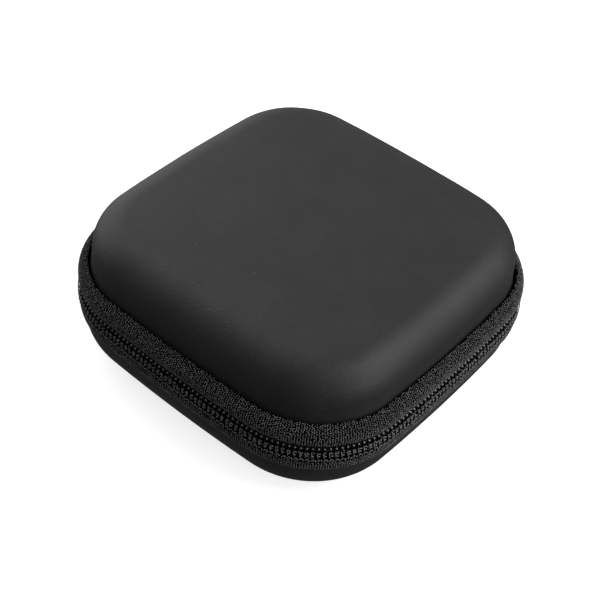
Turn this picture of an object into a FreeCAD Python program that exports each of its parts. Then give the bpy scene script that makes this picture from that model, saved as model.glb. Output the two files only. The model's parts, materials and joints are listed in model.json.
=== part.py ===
"""Small hard-shell earphone case: a moulded lid and base, a fabric hinge and a coil zip.

Frame: millimetres, +Z up, origin at the middle of the underside, hinge at the back (+Y).
The zip plane is horizontal, at zip_level.  "Inset" is a distance measured inwards from the
zip line, the rounded square that the zip follows; a negative inset is outside that line.
"""
import FreeCAD, Part
import math
import os

import Sketcher

Vector = FreeCAD.Vector

SIZES = [
    # the rounded square of the zip line: width, corners, and the large arcs that bow its sides
    ("width", 78.6),
    ("corner_radius", 21.0),
    ("side_arc_radius", 400.0),
    # heights
    ("case_height", 31.2),
    ("zip_level", 15.6),
    ("rim_gap", 4.1),
    # laminate of each half, from the outside in
    ("skin_ply", 0.8),
    ("foam_ply", 2.8),
    ("lining_ply", 0.6),
    ("glue_line", 0.05),
    ("lid_inset", 2.7),
    ("base_inset", 0.8),
    ("lid_edge_radius", 7.0),
    ("base_edge_radius", 9.0),
    # zip tape, folded over the rim of each half
    ("tape_proud", 0.15),
    ("tape_web", 0.3),
    ("tape_reach", 5.5),
    ("tape_slit", 0.9),
    ("lid_tape_roll", 2.2),
    ("base_tape_roll", 0.6),
    ("hinge_width", 36.0),
    ("strip_width", 35.4),
    ("strip_proud", 0.4),
    ("backing_ply", 0.4),
    ("strip_clearance", 0.15),
    # coil and its end stops
    ("coil_outer_inset", 0.32),
    ("coil_inner_inset", 1.7),
    ("coil_low", 0.55),
    ("coil_high", 1.75),
    ("stop_margin", 0.08),
    ("stop_length", 1.4),
    ("lid_coil_end", 6.35),
    ("base_coil_end", 19.4),
    ("corner_coil_end", 33.5),
    # edge binding inside the rim
    ("binding_ply", 0.3),
    ("binding_wall", 0.45),
    ("lid_binding_reach", 6.0),
    ("base_binding_reach", 6.0),
    # net pocket in the lid
    ("net_low", 6.2),
    ("net_ply", 0.4),
    ("net_edge", 14.6),
    ("elastic_width", 2.6),
    ("elastic_low", 6.05),
    ("elastic_high", 6.95),
    ("elastic_end_gap", 0.65),
    ("elastic_round", 0.3),
    # slider, parked at the back end of its run on the right (+X) side
    ("slider_at", 13.5),
    ("slider_length", 9.0),
    ("slider_half_mouth", 3.2),
    ("slider_half_tail", 2.6),
    ("slider_clearance", 0.45),
    ("front_plate", 1.1),
    ("plate_round", 0.28),
    ("back_plate", 1.2),
    ("back_plate_inset", 2.2),
    ("rail_depth", 0.7),
    ("neck_half_height", 0.25),
    ("neck_length", 2.6),
    ("bridge_half_height", 0.9),
    ("bridge_half_length", 3.4),
    ("bridge_rise", 2.7),
    ("bridge_ply", 0.8),
    ("overlap", 0.1),
    # pull, hooked under the bridge
    ("pull_ply", 1.2),
    ("pull_gap", 0.3),
    ("eye_half_height", 1.4),
    ("eye_length", 4.4),
    ("crossbar_round", 0.4),
    ("pull_half_height", 2.7),
    ("pull_length", 20.0),
    ("tongue_half_height", 1.6),
    ("grip_start", 8.0),
    ("grip_length", 16.0),
    ("grip_half_height", 3.4),
    ("grip_ply", 2.6),
    ("grip_round", 0.9),
    # sewing thread
    ("stitch_length", 1.9),
    ("stitch_pitch", 2.8),
    ("thread_width", 0.4),
    ("thread_rise", 0.3),
]

FAR = 80.0   # well beyond the case in any direction
TINY = 1e-4  # how closely places are compared


def add_sheet(doc):
    """Put the driving dimensions in a sheet, one named cell each."""
    sheet = doc.addObject("Spreadsheet::Sheet", "Sizes")
    for row, (name, value) in enumerate(SIZES, start=1):
        sheet.set("A%d" % row, name)
        sheet.set("B%d" % row, str(value))
        sheet.setAlias("B%d" % row, name)
    doc.recompute()
    return sheet


def cell(names):
    """Turn plain cell names in an expression into references to the sheet."""
    words = []
    for word in names.split():
        words.append("Sizes." + word if word[0].isalpha() else word)
    return " ".join(words)


def new_body(doc, label):
    body = doc.addObject("PartDesign::Body", label)
    body.Label = label
    body.Placement = FreeCAD.Placement()
    return body


def new_sketch(body, name, plane, offset):
    """Sketch on one of the body's own origin planes, moved along the normal by a bound offset."""
    sketch = body.newObject("Sketcher::SketchObject", name)
    origin_plane = [f for f in body.Origin.OriginFeatures if f.Role == plane][0]
    sketch.AttachmentSupport = [(origin_plane, "")]
    sketch.MapMode = "FlatFace"
    sketch.setExpression("AttachmentOffset.Base.z", cell(offset))
    return sketch


def bind(sketch, constraint, expression):
    index = sketch.addConstraint(constraint)
    sketch.setExpression("Constraints[%d]" % index, cell(expression))


def outline_arcs(sheet, inset=0.0):
    """Middle, radius and end angles of the eight arcs, anticlockwise from the right side."""
    radius = sheet.corner_radius - inset
    side_radius = sheet.side_arc_radius - inset
    shift = sheet.side_arc_radius - sheet.width / 2
    reach = sheet.side_arc_radius - sheet.corner_radius
    corner = (math.sqrt(2 * reach ** 2 - shift ** 2) - shift) / 2
    lean = math.atan2(corner, corner + shift)
    arcs = []
    for quarter in range(4):
        turn = quarter * math.pi / 2
        middle = Vector(-shift * math.cos(turn), -shift * math.sin(turn), 0)
        arcs.append((middle, side_radius, turn - lean, turn + lean))
        diagonal = turn + math.pi / 4
        middle = Vector(math.cos(diagonal), math.sin(diagonal), 0) * corner * math.sqrt(2)
        arcs.append((middle, radius, turn + lean, turn + math.pi / 2 - lean))
    return arcs


def add_outline(sketch, sheet, inset):
    """Draw the rounded square at an inset, tied to the cells that drive it."""
    up = Vector(0, 0, 1)
    first = sketch.GeometryCount
    arcs = outline_arcs(sheet)
    for middle, radius, start, end in arcs:
        circle = Part.Circle(middle, up, radius)
        sketch.addGeometry(Part.ArcOfCircle(circle, start, end), False)
    for number in range(8):
        here = first + number
        after = first + (number + 1) % 8
        sketch.addConstraint(Sketcher.Constraint("Tangent", here, 2, after, 1))
    shift = sheet.side_arc_radius - sheet.width / 2
    for quarter in range(4):
        side = first + 2 * quarter
        along = "XY"[quarter % 2]
        ends = (side, 3, -1, 1) if quarter < 2 else (-1, 1, side, 3)
        sketch.addConstraint(Sketcher.Constraint("PointOnObject", side, 3, -1 - quarter % 2))
        far = Sketcher.Constraint("Distance" + along, *ends, shift)
        bind(sketch, far, "side_arc_radius - width / 2")
        radius = Sketcher.Constraint("Radius", side, sheet.side_arc_radius)
        bind(sketch, radius, "side_arc_radius - ( %s )" % inset)
        corner = Sketcher.Constraint("Radius", side + 1, sheet.corner_radius)
        bind(sketch, corner, "corner_radius - ( %s )" % inset)


def add_polygon(sketch, corners):
    """Draw a closed polygon, each corner a pair of bound distances from the origin."""
    first = sketch.GeometryCount
    count = len(corners)
    turns = [2 * math.pi * number / count for number in range(count + 1)]
    spots = [Vector(math.cos(turn), math.sin(turn), 0) * FAR for turn in turns]
    for start, end in zip(spots, spots[1:]):
        sketch.addGeometry(Part.LineSegment(start, end), False)
    for number in range(count):
        before = first + (number - 1) % count
        sketch.addConstraint(Sketcher.Constraint("Coincident", before, 2, first + number, 1))
    for number, (x, y) in enumerate(corners):
        corner = sketch.getPoint(first + number, 1)
        bind(sketch, Sketcher.Constraint("DistanceX", -1, 1, first + number, 1, corner.x), x)
        bind(sketch, Sketcher.Constraint("DistanceY", -1, 1, first + number, 1, corner.y), y)


def rectangle(x_low, x_high, y_low, y_high):
    return [(x_low, y_low), (x_high, y_low), (x_high, y_high), (x_low, y_high)]


def finish_feature(body, feature):
    """Solve the body and stop if the feature did not take."""
    body.Document.recompute()
    if "Invalid" in feature.State or "Error" in feature.State or feature.Shape.isNull():
        raise RuntimeError("%s of %s failed" % (feature.Label, body.Label))
    return feature


def pad(body, name, sketch, length):
    feature = body.newObject("PartDesign::Pad", name)
    feature.Profile = sketch
    feature.setExpression("Length", cell(length))
    sketch.Visibility = False
    return finish_feature(body, feature)


def pocket(body, name, sketch, depth=None, reverse=False):
    """Cut a sketch into the body, to a bound depth or right through; it must remove something."""
    before = body.Shape.Volume
    feature = body.newObject("PartDesign::Pocket", name)
    feature.Profile = sketch
    feature.Reversed = reverse
    if depth is None:
        feature.Type = "ThroughAll"
    else:
        feature.setExpression("Length", cell(depth))
    finish_feature(body, feature)
    if feature.Shape.Volume > before - TINY:
        raise RuntimeError("%s of %s removed nothing" % (name, body.Label))
    return feature


def fillet(body, name, radius, picked):
    """Round the edges that the test picks out."""
    base = body.Tip
    edges = ["Edge%d" % n for n, edge in enumerate(base.Shape.Edges, start=1) if picked(edge)]
    if not edges:
        raise RuntimeError("no edge for %s of %s" % (name, body.Label))
    feature = body.newObject("PartDesign::Fillet", name)
    feature.Base = (base, edges)
    feature.setExpression("Radius", cell(radius))
    return finish_feature(body, feature)


def hollow_out(body, name, wall, open_level):
    """Hollow the body to a wall that grows inwards, open at the level face."""
    base = body.Tip
    open_faces = []
    for number, face in enumerate(base.Shape.Faces, start=1):
        box = face.BoundBox
        if abs(box.ZMin - open_level) < TINY and abs(box.ZMax - open_level) < TINY:
            open_faces.append("Face%d" % number)
    feature = body.newObject("PartDesign::Thickness", name)
    feature.Base = (base, open_faces)
    feature.Reversed = True
    feature.setExpression("Value", cell(wall))
    return finish_feature(body, feature)


def level_edges(level, least_reach=0.0):
    """Test for edges that lie in a level plane and end at least so far out from the middle."""

    def picked(edge):
        ends = [vertex.Point for vertex in edge.Vertexes]
        if any(abs(end.z - level) > TINY for end in ends):
            return False
        return max(max(abs(end.x), abs(end.y)) for end in ends) > least_reach
    return picked


def ring(body, name, sheet, level, height, outer, inner):
    """Pad the band between two insets of the zip outline."""
    sketch = new_sketch(body, name + "Sketch", "XY_Plane", level)
    add_outline(sketch, sheet, outer)
    add_outline(sketch, sheet, inner)
    return pad(body, name, sketch, height)


def keep_inside(body, name, windows):
    """Cut away everything outside the given polygons, seen from above."""
    sketch = new_sketch(body, name + "Sketch", "XY_Plane", "case_height + %g" % FAR)
    wide = "%g" % FAR
    low = "0 - %g" % FAR
    add_polygon(sketch, rectangle(low, wide, low, wide))
    for window in windows:
        add_polygon(sketch, window)
    return pocket(body, name, sketch)


def cut_away(body, name, polygon):
    """Cut one polygon, seen from above, right through the body."""
    sketch = new_sketch(body, name + "Sketch", "XY_Plane", "case_height + %g" % FAR)
    add_polygon(sketch, polygon)
    return pocket(body, name, sketch)


def plain_sum(sheet, expression):
    """Value of a plain sum of cell names."""
    return sum(getattr(sheet, word.strip()) for word in expression.split("+"))


# ---------------------------------------------------------------- moulded halves

def shell_ply(doc, sheet, label, half, depth, ply):
    """One ply of a half: a rounded dish, its surface at a depth in the laminate, hollowed out."""
    body = new_body(doc, label)
    if half == "lid":
        start = "zip_level + rim_gap"
    else:
        start = depth
    sketch = new_sketch(body, "OuterSketch", "XY_Plane", start)
    add_outline(sketch, sheet, half + "_inset + " + depth)
    if half == "lid":
        pad(body, "Outer", sketch, "case_height - zip_level - rim_gap - ( %s )" % depth)
        closed, rim = body.Shape.BoundBox.ZMax, body.Shape.BoundBox.ZMin
    else:
        pad(body, "Outer", sketch, "zip_level - rim_gap - ( %s )" % depth)
        closed, rim = body.Shape.BoundBox.ZMin, body.Shape.BoundBox.ZMax
    fillet(body, "Edge", half + "_edge_radius - ( %s )" % depth, level_edges(closed))
    hollow_out(body, "Wall", ply, rim)
    return body


PLIES = [
    ("skin", "0", "skin_ply"),
    ("foam_core", "skin_ply + glue_line", "foam_ply"),
    ("lining", "skin_ply + foam_ply + glue_line + glue_line", "lining_ply"),
]


def add_shells(doc, sheet):
    for name, depth, ply in PLIES:
        for half in ("lid", "base"):
            shell_ply(doc, sheet, "%s_%s" % (half, name), half, depth, ply)


# ---------------------------------------------------------------- zip tapes, coils and binding

LAMINATE = "skin_ply + foam_ply + lining_ply + glue_line + glue_line"
BACK_OPENING = rectangle("0 - hinge_width / 2", "hinge_width / 2", "width / 4", "width")


def zipper_tape(doc, sheet, half):
    """Tape of one half: a thin web beside the coil and a folded block over the rim."""
    body = new_body(doc, half + "_zipper_tape")
    if half == "lid":
        web_low = "zip_level + tape_slit"
        block_low = "zip_level + rim_gap"
        edge = sheet.zip_level + sheet.tape_reach
    else:
        web_low = "zip_level - rim_gap"
        block_low = "zip_level - tape_reach"
        edge = sheet.zip_level - sheet.tape_reach
    skin = half + "_inset - glue_line"
    ring(body, "Web", sheet, web_low, "rim_gap - tape_slit", "0 - tape_proud", "tape_web")
    ring(body, "Block", sheet, block_low, "tape_reach - rim_gap", "0 - tape_proud", skin)
    fillet(body, "Roll", half + "_tape_roll", level_edges(edge, sheet.width / 2 - sheet.base_inset))
    cut_away(body, "BackOpening", BACK_OPENING)
    return body


def coil_ring(doc, sheet, label, half, margin):
    """Band behind the tape that a coil, or with a margin its end stops, is cut from."""
    body = new_body(doc, label)
    low = "coil_low" if half == "lid" else "0 - coil_high"
    ring(body, "Band", sheet, "zip_level + %s - %s" % (low, margin),
         "coil_high - coil_low + %s + %s" % (margin, margin),
         "coil_outer_inset", "coil_inner_inset + " + margin)
    return body


def zipper_coil(doc, sheet, half):
    """Coil of one half: all round the front, from the left back corner to the parked slider."""
    body = coil_ring(doc, sheet, half + "_zipper_coil", half, "0")
    parked = half + "_coil_end"
    cut_away(body, "Ends", [
        ("width", parked), ("width", "width"), ("0 - width", "width"), ("0 - width", "corner_coil_end"),
        ("0", "corner_coil_end"), ("0", parked)])
    return body


def coil_stops(doc, sheet, half):
    """The two clamped stops at the ends of one coil."""
    body = coil_ring(doc, sheet, half + "_zipper_stops", half, "stop_margin")
    parked = half + "_coil_end + glue_line"
    corner = "corner_coil_end + glue_line"
    keep_inside(body, "Ends", [
        rectangle("0", "width", parked, parked + " + stop_length"),
        rectangle("0 - width", "0", corner, corner + " + stop_length")])
    return body


def edge_binding(doc, sheet, half):
    """Ribbon folded over the cut rim of the laminate, inside the case."""
    body = new_body(doc, half + "_edge_binding")
    lining = half + "_inset + %s + glue_line" % LAMINATE
    if half == "lid":
        flange = "zip_level + rim_gap - binding_ply - glue_line"
        leg = "zip_level + rim_gap - glue_line"
    else:
        flange = "zip_level - rim_gap + glue_line"
        leg = "zip_level - base_binding_reach"
    leg_length = half + "_binding_reach - rim_gap + glue_line"
    ring(body, "Flange", sheet, flange, "binding_ply", half + "_inset", lining + " + binding_wall")
    ring(body, "Leg", sheet, leg, leg_length, lining, lining + " + binding_wall")
    return body


def hinge_strips(doc, sheet):
    """Outer strip and its backing: the web that joins the halves at the back."""
    window = rectangle("0 - strip_width / 2", "strip_width / 2", "width / 4", "width")
    outer = new_body(doc, "hinge_outer_strip")
    reach = "tape_reach - rim_gap"
    ring(outer, "Web", sheet, "zip_level - tape_reach", "tape_reach + tape_reach", "0 - strip_proud", "0")
    ring(outer, "LowFold", sheet, "zip_level - tape_reach", reach, "0 - strip_proud", "base_inset - glue_line")
    ring(outer, "HighFold", sheet, "zip_level + rim_gap", reach, "0 - strip_proud",
         "lid_inset - strip_clearance")
    keep_inside(outer, "Width", [window])
    inner = new_body(doc, "hinge_inner_strip")
    ring(inner, "Backing", sheet, "zip_level - rim_gap + glue_line",
         "rim_gap + rim_gap - glue_line - glue_line", "glue_line", "glue_line + backing_ply")
    keep_inside(inner, "Width", [window])


# ---------------------------------------------------------------- net pocket

def net_pocket(doc, sheet):
    """Net across the lid and the elastic that hems its open edge, towards the hinge."""
    wall = "lid_inset + %s + glue_line" % LAMINATE
    net = new_body(doc, "lid_net_pocket")
    sketch = new_sketch(net, "NetSketch", "XY_Plane", "zip_level + net_low")
    add_outline(sketch, sheet, wall)
    pad(net, "Net", sketch, "net_ply")
    cut_away(net, "Mouth", rectangle("0 - width", "width", "net_edge", "width"))
    elastic = new_body(doc, "lid_pocket_elastic")
    band = new_sketch(elastic, "BandSketch", "XY_Plane", "zip_level + elastic_low")
    reach = "width / 2 - lid_inset - %s - glue_line - elastic_end_gap" % LAMINATE.replace("+", "-")
    add_polygon(band, rectangle("0 - ( %s )" % reach, reach, "net_edge + glue_line", "net_edge + elastic_width"))
    pad(elastic, "Band", band, "elastic_high - elastic_low")
    fillet(elastic, "Soft", "elastic_round", lambda edge: edge.BoundBox.XLength > sheet.width / 2)


# ---------------------------------------------------------------- slider and pull

SIDE = "width / 2"
BACK_FACE = SIDE + " - back_plate_inset"
FRONT_FACE = SIDE + " + tape_proud + slider_clearance"
PULL_FACE = FRONT_FACE + " + front_plate + pull_gap"
TAIL = "slider_at - slider_length / 2"
MOUTH = "slider_at + slider_length / 2"


def slider_outline():
    """Plan of both plates in the (Y, Z) plane: wide at the mouth, which faces the back."""
    return [
        (TAIL, "zip_level - slider_half_tail"), ("slider_at", "zip_level - slider_half_mouth"),
        (MOUTH, "zip_level - slider_half_mouth"), (MOUTH, "zip_level + slider_half_mouth"),
        ("slider_at", "zip_level + slider_half_mouth"), (TAIL, "zip_level + slider_half_tail")]


def outward_pad(body, name, start, length, polygons, plane="YZ_Plane"):
    """Pad polygons from a plane at a bound distance from the origin."""
    sketch = new_sketch(body, name + "Sketch", plane, start)
    for polygon in polygons:
        add_polygon(sketch, polygon)
    return pad(body, name, sketch, length)


def bridge_outline():
    """Arch that the pull hangs from, seen from above: outer line, then back along the inner one."""
    root = FRONT_FACE + " + front_plate - overlap"
    top = FRONT_FACE + " + front_plate + bridge_rise"
    back = "slider_at + bridge_half_length"
    front = "slider_at - bridge_half_length"
    return [
        (root, front), (top, front + " + bridge_ply"), (top, back + " - bridge_ply"), (root, back),
        (root, back + " - 1.5 * bridge_ply"), (top + " - bridge_ply", back + " - 2 * bridge_ply"),
        (top + " - bridge_ply", front + " + 2 * bridge_ply"), (root, front + " + 1.5 * bridge_ply")]


def slider(doc, sheet):
    """Slider: back plate with its rails, neck, front plate, and the bridge in front."""
    body = new_body(doc, "zipper_slider")
    outward_pad(body, "BackPlate", BACK_FACE + " - back_plate", "back_plate", [slider_outline()])
    rails = [
        rectangle(TAIL, MOUTH, "zip_level + slider_half_tail - rail_depth", "zip_level + slider_half_tail"),
        rectangle(TAIL, MOUTH, "zip_level - slider_half_tail", "zip_level - slider_half_tail + rail_depth")]
    outward_pad(body, "Rails", BACK_FACE + " - overlap",
                "back_plate_inset - tape_web - slider_clearance + overlap", rails)
    neck = rectangle("slider_at - neck_length / 2", "slider_at + neck_length / 2",
                     "zip_level - neck_half_height", "zip_level + neck_half_height")
    outward_pad(body, "Neck", BACK_FACE + " - overlap",
                "back_plate_inset + tape_proud + slider_clearance + 2 * overlap", [neck])
    outward_pad(body, "FrontPlate", FRONT_FACE, "front_plate", [slider_outline()])
    outward_pad(body, "Bridge", "zip_level - bridge_half_height", "2 * bridge_half_height",
                [bridge_outline()], "XY_Plane")
    fillet(body, "Corners", "plate_round", front_rim_edges(sheet))
    return body


def front_rim_edges(sheet):
    """Test for the upper and lower rim of the front plate's outer face."""
    face = sheet.width / 2 + sheet.tape_proud + sheet.slider_clearance + sheet.front_plate

    def picked(edge):
        box = edge.BoundBox
        level = abs(box.XMin - face) < TINY and abs(box.XMax - face) < TINY
        reach = max(abs(box.ZMin - sheet.zip_level), abs(box.ZMax - sheet.zip_level))
        return level and reach > sheet.slider_half_tail - TINY
    return picked


def pull_plate(doc, sheet):
    """Flat pull: a crossbar under the bridge, an eye that clears it and a tongue for the grip."""
    body = new_body(doc, "pull_plate")
    bar = "slider_at + pull_ply / 2"
    neck = "slider_at - eye_length - pull_ply"
    tip = "slider_at - pull_length"
    outline = [
        (bar, "zip_level - pull_half_height"), (bar, "zip_level + pull_half_height"),
        (neck, "zip_level + pull_half_height"), (neck + " - pull_ply", "zip_level + tongue_half_height"),
        (tip, "zip_level + tongue_half_height"), (tip, "zip_level - tongue_half_height"),
        (neck + " - pull_ply", "zip_level - tongue_half_height"), (neck, "zip_level - pull_half_height")]
    eye = rectangle("slider_at - eye_length", "slider_at - pull_ply / 2",
                    "zip_level - eye_half_height", "zip_level + eye_half_height")
    outward_pad(body, "Plate", PULL_FACE, "pull_ply", [outline, eye])
    fillet(body, "Crossbar", "crossbar_round", crossbar_edges(sheet))
    return body


def crossbar_edges(sheet):
    """Test for the four long edges of the bar that lies under the bridge."""
    rims = (sheet.slider_at + sheet.pull_ply / 2, sheet.slider_at - sheet.pull_ply / 2)

    def picked(edge):
        box = edge.BoundBox
        upright = box.ZLength > sheet.eye_half_height and box.XLength < TINY and box.YLength < TINY
        return upright and any(abs(box.YMin - rim) < TINY for rim in rims)
    return picked


def pull_grip(doc, sheet):
    """Moulded grip over the tongue of the pull."""
    solid = new_body(doc, "pull_grip_blank")
    start = "slider_at - grip_start"
    shape = rectangle(start + " - grip_length", start,
                      "zip_level - grip_half_height", "zip_level + grip_half_height")
    outward_pad(solid, "Blank", PULL_FACE + " + pull_ply / 2 - grip_ply / 2", "grip_ply", [shape])
    fillet(solid, "Round", "grip_round", lambda edge: edge.BoundBox.XLength < TINY)
    tongue = doc.addObject("Part::Box", "tongue_slot")
    tongue.setExpression("Length", cell("pull_ply"))
    tongue.setExpression("Width", cell("pull_length - grip_start"))
    tongue.setExpression("Height", cell("2 * tongue_half_height"))
    tongue.setExpression("Placement.Base.x", cell(PULL_FACE))
    tongue.setExpression("Placement.Base.y", cell("slider_at - pull_length"))
    tongue.setExpression("Placement.Base.z", cell("zip_level - tongue_half_height"))
    grip = doc.addObject("Part::Cut", "pull_grip")
    grip.Label = "pull_grip"
    grip.Base = solid
    grip.Tool = tongue
    doc.recompute()
    return grip


# ---------------------------------------------------------------- sewing thread

def outline_point(sheet, inset, distance):
    """Point and direction on the outline at an inset, measured anticlockwise from its start."""
    for middle, radius, start, end in outline_arcs(sheet, inset):
        length = radius * (end - start)
        if distance <= length:
            angle = start + distance / radius
            spot = middle + Vector(math.cos(angle), math.sin(angle), 0) * radius
            return spot, angle
        distance -= length
    raise ValueError("beyond the end of the outline")


def outline_length(sheet, inset):
    return sum(radius * (end - start) for _, radius, start, end in outline_arcs(sheet, inset))


def stitch_row(doc, sheet, label, inset, level, wanted):
    """Row of raised stitches standing on a wall; the inset is that of their middle."""
    total = outline_length(sheet, inset)
    count = int(total / sheet.stitch_pitch)
    stitches = []
    for number in range(count):
        spot, angle = outline_point(sheet, inset, total * (number + 0.5) / count)
        if not wanted(spot):
            continue
        stitch = Part.makeBox(sheet.thread_rise, sheet.stitch_length, sheet.thread_width)
        stitch.translate(Vector(-sheet.thread_rise / 2, -sheet.stitch_length / 2, -sheet.thread_width / 2))
        stitch.rotate(Vector(), Vector(0, 0, 1), math.degrees(angle))
        stitch.translate(Vector(spot.x, spot.y, level))
        stitches.append(stitch)
    row = doc.addObject("Part::Feature", label)
    row.Label = label
    row.Shape = Part.makeCompound(stitches)
    row.Placement = FreeCAD.Placement()
    return row


def add_threads(doc, sheet):
    """Seam rows inside each rim and across the hinge strip."""
    on_hinge = sheet.strip_width / 2 - sheet.stitch_length
    seam = (sheet.rim_gap + sheet.lid_binding_reach) / 2
    stand = sheet.thread_rise / 2 + sheet.glue_line
    laminate = plain_sum(sheet, LAMINATE) + sheet.glue_line + sheet.binding_wall
    hinge_seam = (sheet.rim_gap + sheet.tape_reach) / 2
    for half, sign in (("lid", 1), ("base", -1)):
        inset = getattr(sheet, half + "_inset") + laminate + stand
        stitch_row(doc, sheet, half + "_seam_thread", inset, sheet.zip_level + sign * seam, lambda spot: True)
        stitch_row(doc, sheet, half + "_hinge_thread", -sheet.strip_proud - stand,
                   sheet.zip_level + sign * hinge_seam,
                   lambda spot: spot.y > 0 and abs(spot.x) < on_hinge)


# ---------------------------------------------------------------- document and files

def check(doc, pieces):
    """Stop if any object failed, or any piece's shape is missing or not valid."""
    for item in doc.Objects:
        if "Invalid" in item.State or "Error" in item.State:
            raise RuntimeError("%s is in error" % item.Label)
    for piece in pieces:
        if piece.Shape.isNull() or not piece.Shape.isValid():
            raise RuntimeError("%s has no sound shape" % piece.Label)


def sub_parts(doc):
    """The finished pieces: every body and cut that nothing else uses, and the threads."""
    kinds = ("PartDesign::Body", "Part::Cut", "Part::Feature")
    pieces = [item for item in doc.Objects if item.TypeId in kinds]
    return [item for item in pieces if item.Label != "pull_grip_blank"]


def main():
    doc = FreeCAD.newDocument("EarphoneCase")
    sheet = add_sheet(doc)
    add_shells(doc, sheet)
    for half in ("lid", "base"):
        zipper_tape(doc, sheet, half)
        zipper_coil(doc, sheet, half)
        coil_stops(doc, sheet, half)
        edge_binding(doc, sheet, half)
    hinge_strips(doc, sheet)
    net_pocket(doc, sheet)
    slider(doc, sheet)
    pull_plate(doc, sheet)
    pull_grip(doc, sheet)
    add_threads(doc, sheet)
    doc.recompute()
    pieces = sub_parts(doc)
    check(doc, pieces)
    os.makedirs("parts", exist_ok=True)
    for piece in pieces:
        piece.Shape.exportStep("parts/%s.step" % piece.Label)
        box = piece.Shape.BoundBox
        print("%-20s %2d solids %8.1f mm3  x %6.2f %6.2f  y %6.2f %6.2f  z %6.2f %6.2f" % (
            piece.Label, len(piece.Shape.Solids), piece.Shape.Volume,
            box.XMin, box.XMax, box.YMin, box.YMax, box.ZMin, box.ZMax))


main()
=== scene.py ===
"""Looks of a small zip-up earphone case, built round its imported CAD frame."""
import json
import math

import bmesh
import bpy
import numpy as np
from mathutils import Matrix, Vector


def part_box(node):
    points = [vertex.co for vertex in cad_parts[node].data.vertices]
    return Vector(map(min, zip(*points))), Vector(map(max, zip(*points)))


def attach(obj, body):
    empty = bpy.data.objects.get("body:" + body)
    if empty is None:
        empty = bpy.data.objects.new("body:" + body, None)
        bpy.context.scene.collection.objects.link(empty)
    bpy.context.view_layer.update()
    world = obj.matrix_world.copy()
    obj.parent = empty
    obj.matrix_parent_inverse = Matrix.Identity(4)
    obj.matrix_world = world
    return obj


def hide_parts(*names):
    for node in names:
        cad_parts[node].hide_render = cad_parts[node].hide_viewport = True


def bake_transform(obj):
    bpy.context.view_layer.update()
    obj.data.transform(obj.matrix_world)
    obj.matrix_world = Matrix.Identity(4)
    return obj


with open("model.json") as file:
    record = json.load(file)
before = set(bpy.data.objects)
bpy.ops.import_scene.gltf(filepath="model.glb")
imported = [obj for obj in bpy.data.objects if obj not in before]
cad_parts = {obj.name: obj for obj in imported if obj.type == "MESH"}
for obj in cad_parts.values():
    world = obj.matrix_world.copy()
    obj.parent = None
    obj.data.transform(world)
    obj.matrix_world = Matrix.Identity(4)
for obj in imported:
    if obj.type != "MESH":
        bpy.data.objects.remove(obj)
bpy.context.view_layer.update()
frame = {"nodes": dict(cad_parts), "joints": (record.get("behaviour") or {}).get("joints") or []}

MM = 0.001

# --- sizes, in millimetres
WIDTH = 78.6  # across the zip line, from side to side
CORNER_RADIUS = 21.0
SIDE_ARC_RADIUS = 400.0  # the sides bow slightly outwards
HINGE = [j for j in frame["joints"] if j["name"] == "lid_hinge"][0]["pos_m"]
ZIP = HINGE[2] / MM  # level of the zip plane
HALF_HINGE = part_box("hinge_outer_strip")[1].x / MM
COIL_PITCH = 1.12
CORNER_COIL_END = 33.5  # y of the coils' end in the left back corner
LID_COIL_END = 6.35  # y of their ends on the slider's side
BASE_COIL_END = 19.4
random = np.random.default_rng(7)


# --- the zip line
def arcs():
    """Middle, radius and angles of the arcs of the zip line, anticlockwise from the right side."""
    shift = SIDE_ARC_RADIUS - WIDTH / 2
    reach = SIDE_ARC_RADIUS - CORNER_RADIUS
    corner = (math.sqrt(2 * reach ** 2 - shift ** 2) - shift) / 2
    lean = math.atan2(corner, corner + shift)
    found = []
    for quarter in range(4):
        turn = quarter * math.pi / 2
        middle = (-shift * math.cos(turn), -shift * math.sin(turn))
        found.append((middle, SIDE_ARC_RADIUS, turn - lean, turn + lean))
        middle = (corner * math.sqrt(2) * math.cos(turn + math.pi / 4),
                  corner * math.sqrt(2) * math.sin(turn + math.pi / 4))
        found.append((middle, CORNER_RADIUS, turn + lean, turn + math.pi / 2 - lean))
    return found


ARCS = arcs()
LENGTHS = np.array([radius * (end - start) for _, radius, start, end in ARCS])
PERIMETER = LENGTHS.sum()
BACK_MIDDLE = LENGTHS[0] + LENGTHS[1] + LENGTHS[2] / 2


def along(distance):
    """Points of the zip line and their outward normals, at distances from the middle of the back."""
    distance = (np.asarray(distance, float) + BACK_MIDDLE) % PERIMETER
    ends = np.cumsum(LENGTHS)
    which = np.minimum(np.searchsorted(ends, distance, side="right"), len(ARCS) - 1)
    inside = distance - (ends - LENGTHS)[which]
    middle = np.array([a[0] for a in ARCS])[which]
    radius = np.array([a[1] for a in ARCS])[which]
    angle = np.array([a[2] for a in ARCS])[which] + inside / radius
    normal = np.stack([np.cos(angle), np.sin(angle)], 1)
    return middle + radius[:, None] * normal, normal


def place(distance, inset, height):
    """Points in 3-D at distances along the zip line, insets from it and heights over the zip plane."""
    spot, normal = along(distance)
    flat = spot - np.asarray(inset)[..., None] * normal
    return np.column_stack([flat, ZIP + np.broadcast_to(height, len(flat))])


def run_to(y):
    """Distance from the back middle, down either side, at which the zip line has come forward to y."""
    samples = np.linspace(0, PERIMETER / 2, 4000)
    return np.interp(-y, -along(samples)[0][:, 1], samples)


# --- meshes
CURVE_POINTS = 24  # points between two corners of a smoothed profile, before it is resampled
TUBE_END = 0.35  # size of a strand's end against its middle


def add_object(name, data):
    """New object in the scene."""
    thing = bpy.data.objects.new(name, data)
    bpy.context.scene.collection.objects.link(thing)
    return thing


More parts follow.
